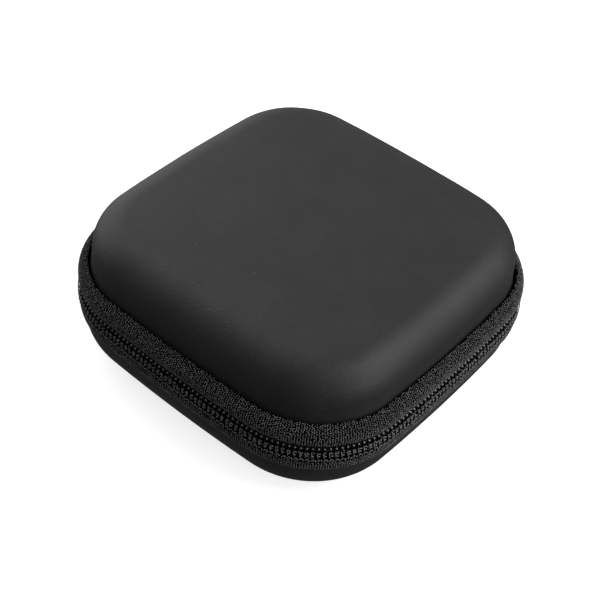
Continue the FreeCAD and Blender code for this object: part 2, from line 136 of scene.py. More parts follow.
def make_mesh(name, points, quads, ngons=()):
    """Mesh object from points in millimetres; quads is an array, ngons a list of index lists."""
    mesh = bpy.data.meshes.new(name)
    quads = np.asarray(quads, np.int32).reshape(-1, 4)
    loops = np.concatenate([quads.ravel()] + [np.asarray(g, np.int32) for g in ngons])
    sizes = np.array([4] * len(quads) + [len(g) for g in ngons], np.int32)
    mesh.vertices.add(len(points))
    mesh.vertices.foreach_set("co", (np.asarray(points, np.float32) * MM).ravel())
    mesh.loops.add(len(loops))
    mesh.loops.foreach_set("vertex_index", loops)
    mesh.polygons.add(len(sizes))
    starts = np.concatenate([[0], np.cumsum(sizes)[:-1]]).astype(np.int32)
    mesh.polygons.foreach_set("loop_start", starts)
    mesh.polygons.foreach_set("use_smooth", np.full(len(sizes), True))
    mesh.update(calc_edges=True)
    mesh.validate()
    return add_object(name, mesh)


def set_relief(piece, numbers):
    """How far each point stands out of its cloth or coil, 0 to 1, for its material to read: yarns get
    painted shade where it is low, the coil a painted glint where it is high.
    """
    layer = piece.data.attributes.new("relief", "FLOAT", "POINT")
    layer.data.foreach_set("value", np.asarray(numbers, np.float32).ravel())


def join(name, parts):
    """One object from several, with the meshes put together."""
    work = bmesh.new()
    for part in parts:
        work.from_mesh(part.data)
        bpy.data.objects.remove(part)
    mesh = bpy.data.meshes.new(name)
    work.to_mesh(mesh)
    work.free()
    mesh.shade_smooth()
    return face_outwards(add_object(name, mesh))


def face_outwards(piece):
    """Turn the faces of a closed piece outwards."""
    work = bmesh.new()
    work.from_mesh(piece.data)
    bmesh.ops.recalc_face_normals(work, faces=work.faces)
    work.to_mesh(piece.data)
    work.free()
    return piece


def grid_quads(columns, rows, wrap_columns, wrap_rows):
    """Quads of a grid of points numbered column * rows + row."""
    a = np.arange(columns if wrap_columns else columns - 1)[:, None]
    b = np.arange(rows if wrap_rows else rows - 1)[None, :]
    a2 = (a + 1) % columns
    b2 = (b + 1) % rows
    corners = np.broadcast_arrays(a * rows + b, a2 * rows + b, a2 * rows + b2, a * rows + b2)
    return np.stack([c.ravel() for c in corners], 1)


def run_along(curve):
    """Length along a curve at each of its points."""
    return np.concatenate([[0], np.cumsum(np.linalg.norm(np.diff(curve, axis=0), axis=1))])


def smooth_profile(corners, step, closed=False):
    """Catmull-Rom curve through profile corners, resampled at even steps."""
    p = np.asarray(corners, float)
    if closed:
        p = np.vstack([p[-1], p, p[0], p[1]])
    else:
        p = np.vstack([2 * p[0] - p[1], p, 2 * p[-1] - p[-2]])
    dense = []
    for a, b, c, d in zip(p, p[1:], p[2:], p[3:]):
        t = np.linspace(0, 1, CURVE_POINTS, endpoint=False)[:, None]
        dense.append(0.5 * (2 * b + (c - a) * t + (2 * a - 5 * b + 4 * c - d) * t ** 2
                            + (3 * b - a - 3 * c + d) * t ** 3))
    dense = np.vstack(dense + [p[-2][None]])
    run = run_along(dense)
    count = max(3, int(round(run[-1] / step)) + 1)
    even = np.linspace(0, run[-1], count)
    curve = np.stack([np.interp(even, run, dense[:, i]) for i in range(2)], 1)
    return curve[:-1] if closed else curve


def profile_normals(profile, closed):
    """Unit normals of a profile, on the left of its direction."""
    if closed:
        direction = np.roll(profile, -1, 0) - np.roll(profile, 1, 0)
    else:
        direction = np.gradient(profile, axis=0)
    normal = np.stack([-direction[:, 1], direction[:, 0]], 1)
    return normal / np.maximum(np.linalg.norm(normal, axis=1), 1e-9)[:, None]


def signed_area(profile):
    """Area inside a closed profile, above nought where it turns left."""
    x, y = profile[:, 0], profile[:, 1]
    return (x * np.roll(y, -1) - np.roll(x, -1) * y).sum() / 2


def sweep(name, distances, profile, relief=None, closed_path=False):
    """Closed profile of (inset, height) pairs swept along the zip line, with relief along its normals."""
    columns, rows = len(distances), len(profile)
    inset = np.broadcast_to(profile[:, 0], (columns, rows)).copy()
    height = np.broadcast_to(profile[:, 1], (columns, rows)).copy()
    if relief is not None:
        out = profile_normals(profile, True)
        inset += relief * out[:, 0]
        height += relief * out[:, 1]
    spot, normal = along(distances)
    flat = spot[:, None, :] - inset[..., None] * normal[:, None, :]
    points = np.concatenate([flat, ZIP + height[..., None]], 2).reshape(-1, 3)
    quads = grid_quads(columns, rows, closed_path, True)
    caps = []
    if not closed_path:
        caps = [list(range(rows)), list(range(columns * rows - 1, columns * rows - rows - 1, -1))]
    return make_mesh(name, points, quads, caps)


def tubes(name, paths, radius, reference, sides=6):
    """Round strands along paths of shape (strands, points, 3); reference is a direction never along them."""
    strands, count = paths.shape[:2]
    tangent = np.gradient(paths, axis=1)
    tangent /= np.maximum(np.linalg.norm(tangent, axis=2, keepdims=True), 1e-9)
    side = np.cross(tangent, np.broadcast_to(reference, paths.shape))
    side /= np.maximum(np.linalg.norm(side, axis=2, keepdims=True), 1e-9)
    other = np.cross(tangent, side)
    size = np.full(count, float(radius))
    size[0] *= TUBE_END
    size[-1] *= TUBE_END
    angle = np.arange(sides) * 2 * math.pi / sides
    ring = (side[:, :, None] * np.cos(angle)[:, None] + other[:, :, None] * np.sin(angle)[:, None])
    points = paths[:, :, None] + ring * size[:, None, None]
    quads = grid_quads(count, sides, False, True)
    offset = (np.arange(strands) * count * sides)[:, None, None]
    quads = (quads[None] + offset).reshape(-1, 4)[:, ::-1]
    caps = []
    for strand in range(strands):
        first = strand * count * sides
        last = first + (count - 1) * sides
        caps.append([first + i for i in range(sides)])
        caps.append([last + i for i in reversed(range(sides))])
    return make_mesh(name, points.reshape(-1, 3), quads, caps)


# --- materials
def material(name, colour, roughness, specular=0.5):
    """Principled material, with its node tree and shader."""
    made = bpy.data.materials.new(name)
    made.use_nodes = True
    tree = made.node_tree
    shader = tree.nodes["Principled BSDF"]
    shader.inputs["Base Color"].default_value = (*colour, 1)
    shader.inputs["Roughness"].default_value = roughness
    shader.inputs["Specular IOR Level"].default_value = specular
    return made, tree, shader


def node(tree, kind, inputs=None, **settings):
    """Shader node with its settings, and its inputs set to values or linked to sockets."""
    made = tree.nodes.new("ShaderNode" + kind)
    for key, value in settings.items():
        setattr(made, key, value)
    for key, value in (inputs or {}).items():
        if isinstance(value, bpy.types.NodeSocket):
            tree.links.new(value, made.inputs[key])
        else:
            made.inputs[key].default_value = value
    return made


def place_of(tree):
    """Coordinates that stay with the piece, in metres."""
    return node(tree, "TexCoord").outputs["Object"]


def noise(tree, size, detail=3.0, roughness=0.5):
    """Noise whose blobs are about size millimetres across."""
    return node(tree, "TexNoise", {"Vector": place_of(tree), "Scale": 1 / (size * MM), "Detail": detail,
                                   "Roughness": roughness}).outputs["Fac"]


def cells(tree, size, feature="F1"):
    """Distance to the middle of random cells of a size in millimetres, in cells."""
    return node(tree, "TexVoronoi", {"Vector": place_of(tree), "Scale": 1 / (size * MM)},
                feature=feature).outputs["Distance"]


def ramp(tree, value, low, high, colour_low, colour_high):
    """Colour that goes from one to the other as value goes from low to high."""
    made = node(tree, "ValToRGB", {"Fac": value})
    for element, position, colour in zip(made.color_ramp.elements, (low, high), (colour_low, colour_high)):
        element.position = position
        element.color = (*colour, 1)
    return made.outputs["Color"]


def spread(tree, value, low, high):
    """Map 0..1 to low..high."""
    return node(tree, "MapRange", {"Value": value, "To Min": low, "To Max": high}).outputs["Result"]


def between(tree, value, low, high):
    """How far a value has come from low to high, 0 to 1."""
    return node(tree, "MapRange", {"Value": value, "From Min": low, "From Max": high}).outputs["Result"]


def times(tree, first, second):
    """Product of two values."""
    return node(tree, "Math", {0: first, 1: second}, operation="MULTIPLY").outputs[0]


def bump(tree, height, depth, strength=1.0, under=None):
    """Bump of a depth in millimetres, on top of another bump."""
    inputs = {"Height": height, "Distance": depth * MM, "Strength": strength}
    if under is not None:
        inputs["Normal"] = under
    return node(tree, "Bump", inputs).outputs["Normal"]


def wire(tree, shader, colour=None, roughness=None, normal=None):
    """Link what is given to the shader."""
    for key, socket in (("Base Color", colour), ("Roughness", roughness), ("Normal", normal)):
        if socket is not None:
            tree.links.new(socket, shader.inputs[key])


def skin_material():
    """Black polyurethane leather: fine pebble grain, soft cloudy tone, a few pale specks."""
    made, tree, shader = material("pu_skin", (0.02, 0.02, 0.021), 0.5, 0.42)
    fine = noise(tree, 0.35, detail=5.0, roughness=0.65)
    pebble = cells(tree, 0.42, "SMOOTH_F1")
    speck = between(tree, cells(tree, 3.6), 0.05, 0.03)
    cloud = noise(tree, 14.0, detail=4.0, roughness=0.6)
    small_blotch = spread(tree, noise(tree, 0.9, detail=4.0, roughness=0.6), 0.3, 1.7)
    large_blotch = spread(tree, noise(tree, 4.5), 0.55, 1.45)
    tone = times(tree, cloud, times(tree, small_blotch, large_blotch))
    base = ramp(tree, tone, 0.2, 0.85, (0.0165, 0.0165, 0.017), (0.0265, 0.0265, 0.0272))
    mixed = node(tree, "Mix", {"Factor": speck, 6: base, 7: (0.07, 0.07, 0.07, 1)}, data_type="RGBA")
    wire(tree, shader, mixed.outputs[2], spread(tree, fine, 0.46, 0.62),
         bump(tree, fine, 0.06, 0.7, bump(tree, pebble, 0.035, 0.7)))
    return made


def yarn_material(name, gap, crest, low, high):
    """Knitted or sewn yarn: painted shade where its relief attribute is low, down to the gap colour with
    weak specular; as pale as its crest where high.
    """
    made, tree, shader = material(name, crest, 0.62, 0.3)
    relief = node(tree, "Attribute", attribute_name="relief").outputs["Fac"]
    fibre = noise(tree, 0.08, roughness=0.7)
    # Painted shade: the colour darkens from crest to gap as the relief attribute falls.
    lit = times(tree, relief, spread(tree, noise(tree, 0.6, detail=2.0), 0.7, 1.2))
    wire(tree, shader, ramp(tree, lit, low, high, gap, crest), spread(tree, fibre, 0.5, 0.72),
         bump(tree, fibre, 0.03, 0.7))
    # Painted shade: specular falls with the relief attribute, so low places reflect little.
    tree.links.new(spread(tree, relief, 0.02, 0.35), shader.inputs["Specular IOR Level"])
    return made


def coil_material():
    """Black nylon monofilament, with a painted glint on the lower coil's bends, where the two coils meet:
    pale colour and strong specular there, and weak specular elsewhere as painted shade of the groove.
    """
    made, tree, shader = material("nylon_coil", (0.02, 0.02, 0.021), 0.3, 0.6)
    drawn = noise(tree, 0.12, roughness=0.6)
    # Painted glint: the outermost bends get a pale colour and strong specular; the rest keeps weak specular,
    # painted shade.
    bend_glint = between(tree, node(tree, "Attribute", attribute_name="relief").outputs["Fac"], 0.86, 0.99)
    wire(tree, shader, ramp(tree, bend_glint, 0.0, 1.0, (0.006, 0.006, 0.006), (0.4, 0.4, 0.405)),
         spread(tree, drawn, 0.22, 0.38), bump(tree, drawn, 0.01, 0.5))
    tree.links.new(spread(tree, bend_glint, 0.08, 0.6), shader.inputs["Specular IOR Level"])
    return made


def cloth_material(name, dark, light, size, depth, roughness=0.8, sheen=0.25):
    """Brushed or woven cloth: loops of a size in millimetres over soft cloudy shading."""
    made, tree, shader = material(name, light, roughness, 0.2)
    loop = cells(tree, size, "SMOOTH_F1")
    fibre = noise(tree, size / 3, detail=4.0, roughness=0.7)
    cloud = noise(tree, 9.0)
    pile = times(tree, node(tree, "Math", {0: loop, 1: fibre}, operation="ADD").outputs[0], 0.6)
    soft = times(tree, pile, spread(tree, cloud, 0.75, 1.25))
    wire(tree, shader, ramp(tree, soft, 0.2, 0.75, light, dark),
         spread(tree, fibre, roughness - 0.1, roughness),
         bump(tree, loop, -depth, 0.8, bump(tree, fibre, depth / 2, 0.6)))
    shader.inputs["Sheen Weight"].default_value = sheen
    shader.inputs["Sheen Roughness"].default_value = 0.5
    return made


def foam_material():
    """Closed-cell foam, seen only where it is cut: fine open bubbles, darker in their pits with painted
    shade.
    """
    made, tree, shader = material("eva_foam", (0.05, 0.05, 0.052), 0.9, 0.2)
    bubble = cells(tree, 0.3)
    # Painted shade: the colour darkens where the bump sinks into each bubble's pit.
    wire(tree, shader, ramp(tree, bubble, 0.1, 0.6, (0.02, 0.02, 0.021), (0.065, 0.065, 0.067)),
         spread(tree, noise(tree, 1.5), 0.8, 0.95), bump(tree, bubble, 0.08, 0.8))
    return made


def metal_material():
    """Die-cast zinc under satin black enamel, thin and worn on the raised places."""
    made, tree, shader = material("black_enamel", (0.02, 0.02, 0.021), 0.35, 0.55)
    raised = between(tree, node(tree, "NewGeometry").outputs["Pointiness"], 0.53, 0.6)
    scuff = noise(tree, 0.5, detail=5.0, roughness=0.65)
    worn = times(tree, raised, scuff)
    orange_peel = noise(tree, 0.25, detail=2.0)
    wire(tree, shader, ramp(tree, worn, 0.2, 0.6, (0.018, 0.018, 0.019), (0.09, 0.09, 0.093)),
         spread(tree, scuff, 0.24, 0.46), bump(tree, orange_peel, 0.012, 0.5))
    shader.inputs["Coat Weight"].default_value = 0.35
    shader.inputs["Coat Roughness"].default_value = 0.2
    return made


def rubber_material():
    """Moulded soft rubber with a faint spark-eroded texture."""
    made, tree, shader = material("soft_rubber", (0.018, 0.018, 0.018), 0.7, 0.35)
    fine = noise(tree, 0.14, detail=4.0, roughness=0.7)
    dust = noise(tree, 2.2)
    wire(tree, shader, ramp(tree, dust, 0.35, 0.75, (0.015, 0.015, 0.015), (0.026, 0.026, 0.026)),
         spread(tree, fine, 0.6, 0.8), bump(tree, fine, 0.03, 0.7))
    return made


SKIN = skin_material()
# The knit tape's near-black gap colour is painted shade: it shows on the backing between the threads.
TAPE = yarn_material("zip_tape_knit", (0.001, 0.001, 0.001), (0.21, 0.21, 0.213), 0.1, 1.0)
THREAD = yarn_material("sewing_thread", (0.012, 0.012, 0.012), (0.07, 0.07, 0.072), 0.0, 1.0)
RIBBON = yarn_material("binding_ribbon", (0.006, 0.006, 0.006), (0.05, 0.05, 0.052), 0.1, 0.9)
ELASTIC = yarn_material("ribbed_elastic", (0.006, 0.006, 0.006), (0.06, 0.06, 0.062), 0.1, 0.9)
NET = yarn_material("net_yarn", (0.015, 0.015, 0.015), (0.055, 0.055, 0.057), 0.0, 1.0)
LINING = cloth_material("lining_velour", (0.008, 0.008, 0.0085), (0.04, 0.04, 0.042), 0.5, 0.1)
BACKING = cloth_material("backing_cloth", (0.008, 0.008, 0.0085), (0.045, 0.045, 0.047), 0.35, 0.06)
COIL = coil_material()
FOAM = foam_material()
METAL = metal_material()
RUBBER = rubber_material()


def dress(piece, made, slot, body, *replaced):
    """Give a piece its material, the body it rides on and the CAD nodes it stands for; its slot is not used.
    """
    piece.data.materials.clear()
    piece.data.materials.append(made)
    if body:
        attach(piece, body)
    if replaced:
        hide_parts(*replaced)


def paint_node(name, made):
    """Give a CAD node that stays a better material."""
    mesh = frame["nodes"][name].data
    mesh.materials.clear()
    mesh.materials.append(made)


def reach(name):
    """Inset of the widest place of a node, and its lowest and highest level over the zip plane."""
    low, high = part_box(name)
    return WIDTH / 2 - high.x / MM, low.z / MM - ZIP, high.z / MM - ZIP


def depth_range(name):
    """Inset of the widest place of a node, and how near the zip plane it comes and how far it goes."""
    inset, low, high = reach(name)
    return (inset, *sorted((abs(low), abs(high))))


# --- moulded halves
DISH_COLUMNS = 560
EDGE_FULLNESS = 0.92  # power of the edge's curve: 1 is round
DRAFT_CURVE = 1.5
FACE_CENTRE = 0.02  # share of the face that its middle panel takes
SKIN_PLY = 0.75
SKIN_INSET = 0.1  # inside its node
LINING_PLY = 0.5
LINING_INSET = 0.05
WOBBLE_WAVES = 6
WOBBLE_SIZE = 11.0
WOBBLE_RATE = 2.2
WOBBLE_PHASE = 6.3  # radians
LEVEL_RIM = 1.0  # even height of wall next to the rim
# half, side of the zip plane, then its skin's edge radius, crown, unevenness and draft, and its
# lining's edge radius
HALVES = [("lid", 1, 7.4, 0.4, 0.07, 0.45, 3.6),
          ("base", -1, 9.0, 0.0, 0.0, 0.0, 5.6)]


def wobble(points, depth, seed):
    """Slow unevenness of a hand-pressed surface, -depth to depth millimetres."""
    p = np.asarray(points) / WOBBLE_SIZE
    waves = np.zeros(len(p))
    turns = np.random.default_rng(seed)
    for _ in range(WOBBLE_WAVES):
        way = turns.normal(size=3)
        waves += np.sin(p @ way * WOBBLE_RATE + turns.uniform(0, WOBBLE_PHASE))
    return waves / WOBBLE_WAVES * depth


def dish(name, sign, inset, rim, top, edge, wall, crown=0.0, unevenness=0.0, draft=0.0):
    """Closed shell of one half: wall, rounded edge and crowned face outside, the same inside."""
    spot, normal = along(np.arange(DISH_COLUMNS) * PERIMETER / DISH_COLUMNS)

    def surface(depth, wall_rows, edge_rows, face_rows):
        """Rings of one side of the shell, from its rim to the middle of its face."""
        radius = edge - depth
        bend = top - depth - radius
        fade = np.linspace(1, 0, wall_rows, endpoint=False) ** DRAFT_CURVE
        insets = list(inset + depth - draft * fade)
        heights = list(np.linspace(rim, bend, wall_rows, endpoint=False))
        for turn in np.linspace(0, math.pi / 2, edge_rows):
            insets.append(inset + depth + radius * (1 - math.cos(turn) ** EDGE_FULLNESS))
            heights.append(bend + radius * math.sin(turn) ** EDGE_FULLNESS)
        rings = [np.column_stack([spot - i * normal, np.full(DISH_COLUMNS, h)])
                 for i, h in zip(insets, heights)]
        last = rings[-1]
        for scale in np.linspace(1, FACE_CENTRE, face_rows)[1:]:
            ring = last * (scale, scale, 1)
            ring[:, 2] += crown * (1 - scale ** 2)
            rings.append(ring)
        return rings

    outer = surface(0.0, 10, 18, 22)
    inner = surface(wall, 4, 9, 10)[::-1]
    rings = np.array(outer + inner)
    rings[:, :, 2] = ZIP + sign * rings[:, :, 2]
    rows = len(rings)
    points = rings.transpose(1, 0, 2).reshape(-1, 3)
    shift = wobble(points, unevenness, 3)
    points[:, 2] += sign * shift * (np.abs(points[:, 2] - ZIP) > rim + LEVEL_RIM)
    quads = grid_quads(DISH_COLUMNS, rows, True, True)
    middle = len(outer) - 1
    quads = quads[~((quads % rows == middle).any(1) & (quads % rows == middle + 1).any(1))]
    around = np.arange(DISH_COLUMNS) * rows
    caps = [list(around + middle), list((around + middle + 1)[::-1])]
    return face_outwards(make_mesh(name, points, quads, caps))


def declare_strip(corners):
    """Smooth outline through a strip's profile corners, resampled at even steps; nothing uses it."""
    outline = smooth_profile(corners, 0.1)


def build_halves():
    """Skin and lining of both halves, over their foam cores."""
    for half, sign, edge, crown, unevenness, draft, inner_edge in HALVES:
        inset, rim, top = depth_range(half + "_skin")
        skin = dish(half + "_skin_shell", sign, inset + SKIN_INSET, rim, top, edge, SKIN_PLY,
                    crown, unevenness, draft)
        dress(skin, SKIN, "case_skin", half, half + "_skin")
        inset, rim, top = depth_range(half + "_lining")
        lining = dish(half + "_lining_shell", sign, inset + LINING_INSET, rim, top, inner_edge, LINING_PLY)
        dress(lining, LINING, "lining_fabric", half, half + "_lining")
        paint_node(half + "_foam_core", FOAM)


# --- zip tapes
FABRIC_STEP = 0.5
KNIT_PITCH = 0.5  # along the zip
KNIT_LANE = 0.46  # across the tape
KNIT_SINK = 0.1  # of backing and threads, under the profile
KNIT_RADIUS = 0.1
KNIT_ENDS = 0.3  # bare ends of a tape
KNIT_EDGES = 0.1  # bare edges
KNIT_SHIFT = 0.05
KNIT_LEAN = 0.95  # radians, one way and the other from row to row
KNIT_LEAN_SPREAD = 0.25
STRAY_SHARE = 0.15  # threads that lie nearly along the tape
STRAY_LEAN = 0.4
KNIT_BEND = 0.9  # radians
KNIT_HALF_LENGTHS = (0.18, 0.3)
KNIT_SIDES = 5
KNIT_POINTS = 5
BACKING_SHADE = 0.2
LIP_WIDTH = 0.6  # bare lip of the upper tape
FRAY_AND_SHADOW_WIDTH = 0.28  # its fraying selvedge, bare of threads so the black backing shows there as painted shadow of the lid's rim
FRAY_AND_SHADOW_LENGTH = 0.45
FRAY_AND_SHADOW_SEED = 5
SPARSE = 0.12  # share of threads behind the coil's stitching
SPARSE_DEPTH = 2.8
CHANNEL_DEPTH = 3.0
CHANNEL_WAVE = 0.1
CHANNEL_HALF_WIDTH = 0.16
TAPE_END_GAP = 0.15
# (inset, height over the zip plane) round each tape: lip, bulge, outer edge, then the hidden back
LID_TAPE = [(1.3, 1.5), (0.8, 1.12), (0.34, 1.12), (0.06, 1.5), (-0.07, 2.3), (-0.03, 3.2), (0.2, 4.1),
            (0.7, 4.85), (1.3, 5.4), (1.85, 5.5), (2.25, 5.25), (2.3, 4.5), (2.35, 3.8), (2.9, 3.6),
            (4.6, 3.58), (4.6, 3.32), (2.6, 3.3), (1.5, 3.5), (0.8, 3.3), (0.45, 2.6), (0.65, 1.9)]
BASE_TAPE = [(1.25, -0.5), (0.85, -0.12), (0.42, -0.02), (0.12, -0.3), (-0.04, -1.0), (-0.1, -2.2),
             (-0.08, -3.6), (0.0, -4.6), (0.15, -5.3), (0.4, -5.75), (0.72, -5.85), (0.8, -5.3),
             (0.8, -4.2), (1.1, -3.62), (4.4, -3.58), (4.4, -3.32), (1.2, -3.3), (0.65, -3.1),
             (0.42, -1.8), (0.6, -0.95)]
TAPE_SHOWN = 11  # corners of a tape's visible side
TAPE_FLAT = 15  # corners from its lip to its hidden edge


def scatter_threads(turns, first, last, width):
    """Middles, leans, bends and half lengths of a knit's threads, on an uneven grid."""
    columns = np.arange(first + KNIT_ENDS, last - KNIT_ENDS, KNIT_PITCH)
    lanes = np.arange(KNIT_EDGES, width - KNIT_EDGES, KNIT_LANE)
    column, lane = [grid.ravel() for grid in np.meshgrid(np.arange(len(columns)), np.arange(len(lanes)))]
    count = len(column)
    distance = columns[column] + turns.normal(0, KNIT_SHIFT, count)
    across = lanes[lane] + 0.5 * KNIT_LANE * (column % 2) + turns.normal(0, KNIT_SHIFT, count)
    lean = np.where(lane % 2, KNIT_LEAN, -KNIT_LEAN) + turns.normal(0, KNIT_LEAN_SPREAD, count)
    stray = turns.random(count) < STRAY_SHARE
    lean = np.where(stray, turns.uniform(-STRAY_LEAN, STRAY_LEAN, count), lean)
    bend = turns.uniform(-KNIT_BEND, KNIT_BEND, count)
    half_length = turns.uniform(*KNIT_HALF_LENGTHS, count)
    return distance, across, lean, bend, half_length


def knit_threads(name, distances, outside, outward, cover, seed):
    """Short bent threads over the side of a profile that shows, and how pale each point of them is."""
    turns = np.random.default_rng(seed)
    run = run_along(outside)
    threads = scatter_threads(turns, distances[0], distances[-1], run[-1])
    height = np.interp(threads[1], run, outside[:, 1])
    kept = turns.random(len(height)) < (cover(*threads[:2], height, run[-1]) if cover else 1.0)
    distance, across, lean, bend, half_length = (item[kept, None] for item in threads)
    t = np.linspace(-1, 1, KNIT_POINTS)
    angle = lean + bend * (t > 0)
    distance = distance + half_length * t * np.cos(angle)
    across = np.clip(across + half_length * t * np.sin(angle), 0, run[-1])
    rise = KNIT_RADIUS * (0.9 - 1.7 * t ** 4) - KNIT_SINK
    facing = [np.interp(across, run, outward[:, i]) for i in range(2)]
    inset = np.interp(across, run, outside[:, 0]) + rise * facing[0]
    height = np.interp(across, run, outside[:, 1]) + rise * facing[1]
    paths = place(distance.ravel(), inset.ravel(), height.ravel()).reshape(*distance.shape, 3)
    _, normal = along(distance.ravel())
    normal = normal.reshape(*distance.shape, 2)
    reference = np.concatenate([-facing[0][..., None] * normal, facing[1][..., None]], 2)
    shade = turns.uniform(0.5, 1.0, len(paths))
    strands = tubes(name, paths, KNIT_RADIUS, reference, sides=KNIT_SIDES)
    return strands, np.repeat(shade, KNIT_POINTS * KNIT_SIDES)


def fabric(name, distances, corners, shown, seed, cover=None):
    """Black backing swept along the zip line, and the knit's threads over the side that shows; where the
    backing shows between the threads it takes the gap colour, painted shade.
    """
    outside = smooth_profile(corners[:shown], 0.3)
    inside = smooth_profile(corners[shown - 1:] + corners[:1], 0.6)[1:-1]
    profile = np.vstack([outside, inside])
    turn = np.sign(signed_area(profile))
    outward = -turn * profile_normals(profile, True)[:len(outside)]
    is_shown = np.arange(len(profile)) < len(outside)
    backing = sweep(name + "_backing", distances, profile, relief=np.where(is_shown, KNIT_SINK * turn, 0.0))
    threads, shade = knit_threads(name + "_threads", distances, outside, outward, cover, seed)
    # Painted shade: the backing's shown side gets relief 0, the near-black gap colour; its hidden side keeps
    # a little tone.
    backing_shade = np.tile(np.where(is_shown, 0.0, BACKING_SHADE), len(distances))
    piece = join(name, [backing, threads])
    set_relief(piece, np.concatenate([backing_shade, shade]))
    return piece


def chance(*numbers):
    """Repeatable random number, 0 to 1, for whole numbers."""
    mix = sum(n * k for n, k in zip(numbers, (127.1, 311.7, 74.7)))
    return np.abs(np.sin(mix) * 43758.5453) % 1.0


def lid_cover(distance, across, height, width):
    """Threads of the upper tape: none on its turned-in lip, and none along a ragged, fraying selvedge under
    the lid, whose bare black backing is painted shadow of the lid's rim.
    """
    # Painted shadow: a ragged band along the tape's edge under the lid's rim loses its threads, so the black
    # backing shows.
    fray_and_shadow_edge = width - FRAY_AND_SHADOW_WIDTH - FRAY_AND_SHADOW_WIDTH * chance(np.floor(distance / FRAY_AND_SHADOW_LENGTH), FRAY_AND_SHADOW_SEED)
    return (across > LIP_WIDTH) & (across < fray_and_shadow_edge)


def base_cover(distance, across, height, width):
    """Threads of the lower tape: few behind the coil's stitching, and a channel below the chevrons."""
    tooth = 2 * math.pi * distance / COIL_PITCH
    channel = np.abs(height + CHANNEL_DEPTH + CHANNEL_WAVE * np.sin(tooth)) < CHANNEL_HALF_WIDTH
    sewn = (distance > run_to(CORNER_COIL_END)) & (distance < PERIMETER - run_to(LID_COIL_END))
    return np.where(sewn & (height > -SPARSE_DEPTH), SPARSE, 1.0) * ~(sewn & channel)


def build_tapes():
    """Both zip tapes, from one end of the hinge round to the other."""
    start = HALF_HINGE + TAPE_END_GAP
    distances = np.arange(start, PERIMETER - start, FABRIC_STEP)
    for half, corners, seed, cover in (("lid", LID_TAPE, 1, lid_cover), ("base", BASE_TAPE, 2, base_cover)):
        piece = fabric(half + "_tape_knit", distances, corners, TAPE_SHOWN, seed, cover)
        dress(piece, TAPE, "zip_tape", half, half + "_zipper_tape")
        declare_strip(corners[:TAPE_FLAT])


# --- coils
COIL_INSET = 0.78  # of the coils' middle
COIL_RISE = 0.72
COIL_HALF_DEPTH = 0.42
COIL_HALF_HEIGHT = 0.9
COIL_LEAN = 0.32
TURN_POINTS = 14
WIRE_RADIUS = 0.24
CORE_RADIUS = 0.3
COIL_SIDES = 8
# half, side of the zip plane, extra inset, phase in teeth, strength of the painted glint on its bends, y of
# its end
COILS = [("lid", 1, 0.2, 0.0, 0.5, LID_COIL_END),
         ("base", -1, 0.0, 0.5, 1.0, BASE_COIL_END)]


def build_coils():
    """Nylon coils: leaning, flattened helices round a core cord, whose bends meet at the zip plane."""
    start = run_to(CORNER_COIL_END)
    for half, sign, deeper, phase, pale, end in COILS:
        turns = int((PERIMETER - run_to(end) - start) / COIL_PITCH)
        turn = np.arange(turns * TURN_POINTS + 1) / TURN_POINTS
        angle = 2 * math.pi * turn
        distance = start + (turn + phase) * COIL_PITCH
        inset = COIL_INSET + deeper - COIL_HALF_DEPTH * np.cos(angle) - COIL_LEAN * np.sin(angle)
        height = sign * (COIL_RISE - COIL_HALF_HEIGHT * np.sin(angle))
        _, normal = along(distance)
        heading = np.column_stack([-normal[:, 1], normal[:, 0], np.zeros(len(normal))])
        helix = tubes(half + "_helix", place(distance, inset, height)[None], WIRE_RADIUS, heading[None],
                      sides=COIL_SIDES)
        core = place(np.arange(distance[0], distance[-1], 0.5), COIL_INSET + deeper, sign * COIL_RISE)
        cord = tubes(half + "_cord", core[None], CORE_RADIUS, (0.0, 0.0, 1.0), sides=COIL_SIDES)
        piece = join(half + "_coil_helix", [helix, cord])
        # Each turn's outermost bends get a painted glint, scaled by the half's glint strength.
        bends = np.repeat(np.sin(angle), COIL_SIDES) * pale
        set_relief(piece, np.concatenate([bends, np.zeros(len(core) * COIL_SIDES)]))
        dress(piece, COIL, "zip_coil", half, half + "_zipper_coil")


# --- the lower coil's stitching
# (distance past the seat of a tooth, depth below the zip plane) along each stroke of its stitches:
# an upright, its two arms and the two sides of the chevron under them
STROKES = [[(0.0, 0.42), (0.04, 0.85), (0.08, 1.35), (0.2, 1.9)],
           [(0.05, 0.62), (0.24, 0.58), (0.44, 0.64), (0.66, 0.62)],
           [(0.08, 1.22), (0.26, 1.18), (0.44, 1.24), (0.6, 1.2)],
           [(0.02, 2.6), (0.2, 2.42), (0.4, 2.22), (0.56, 2.1)],
           [(0.62, 2.2), (0.72, 2.35), (0.84, 2.5), (0.94, 2.62)]]
STROKE_PHASE = 0.55  # of a tooth
STROKE_SHIFT = 0.05
STROKE_PROUD = 0.16  # over the tape
STROKE_RADIUS = 0.12
STROKE_REFERENCE = (0.3, 0.2, 0.93)
BARE_TEETH = 2  # without stitches, by the slider


def surface_inset(corners, height):
    """Inset of the outer face of a tape profile at a height."""
    outside = smooth_profile(corners[:TAPE_SHOWN], 0.1)
    rising = outside[np.argsort(outside[:, 1])]
    return np.interp(height, rising[:, 1], rising[:, 0])


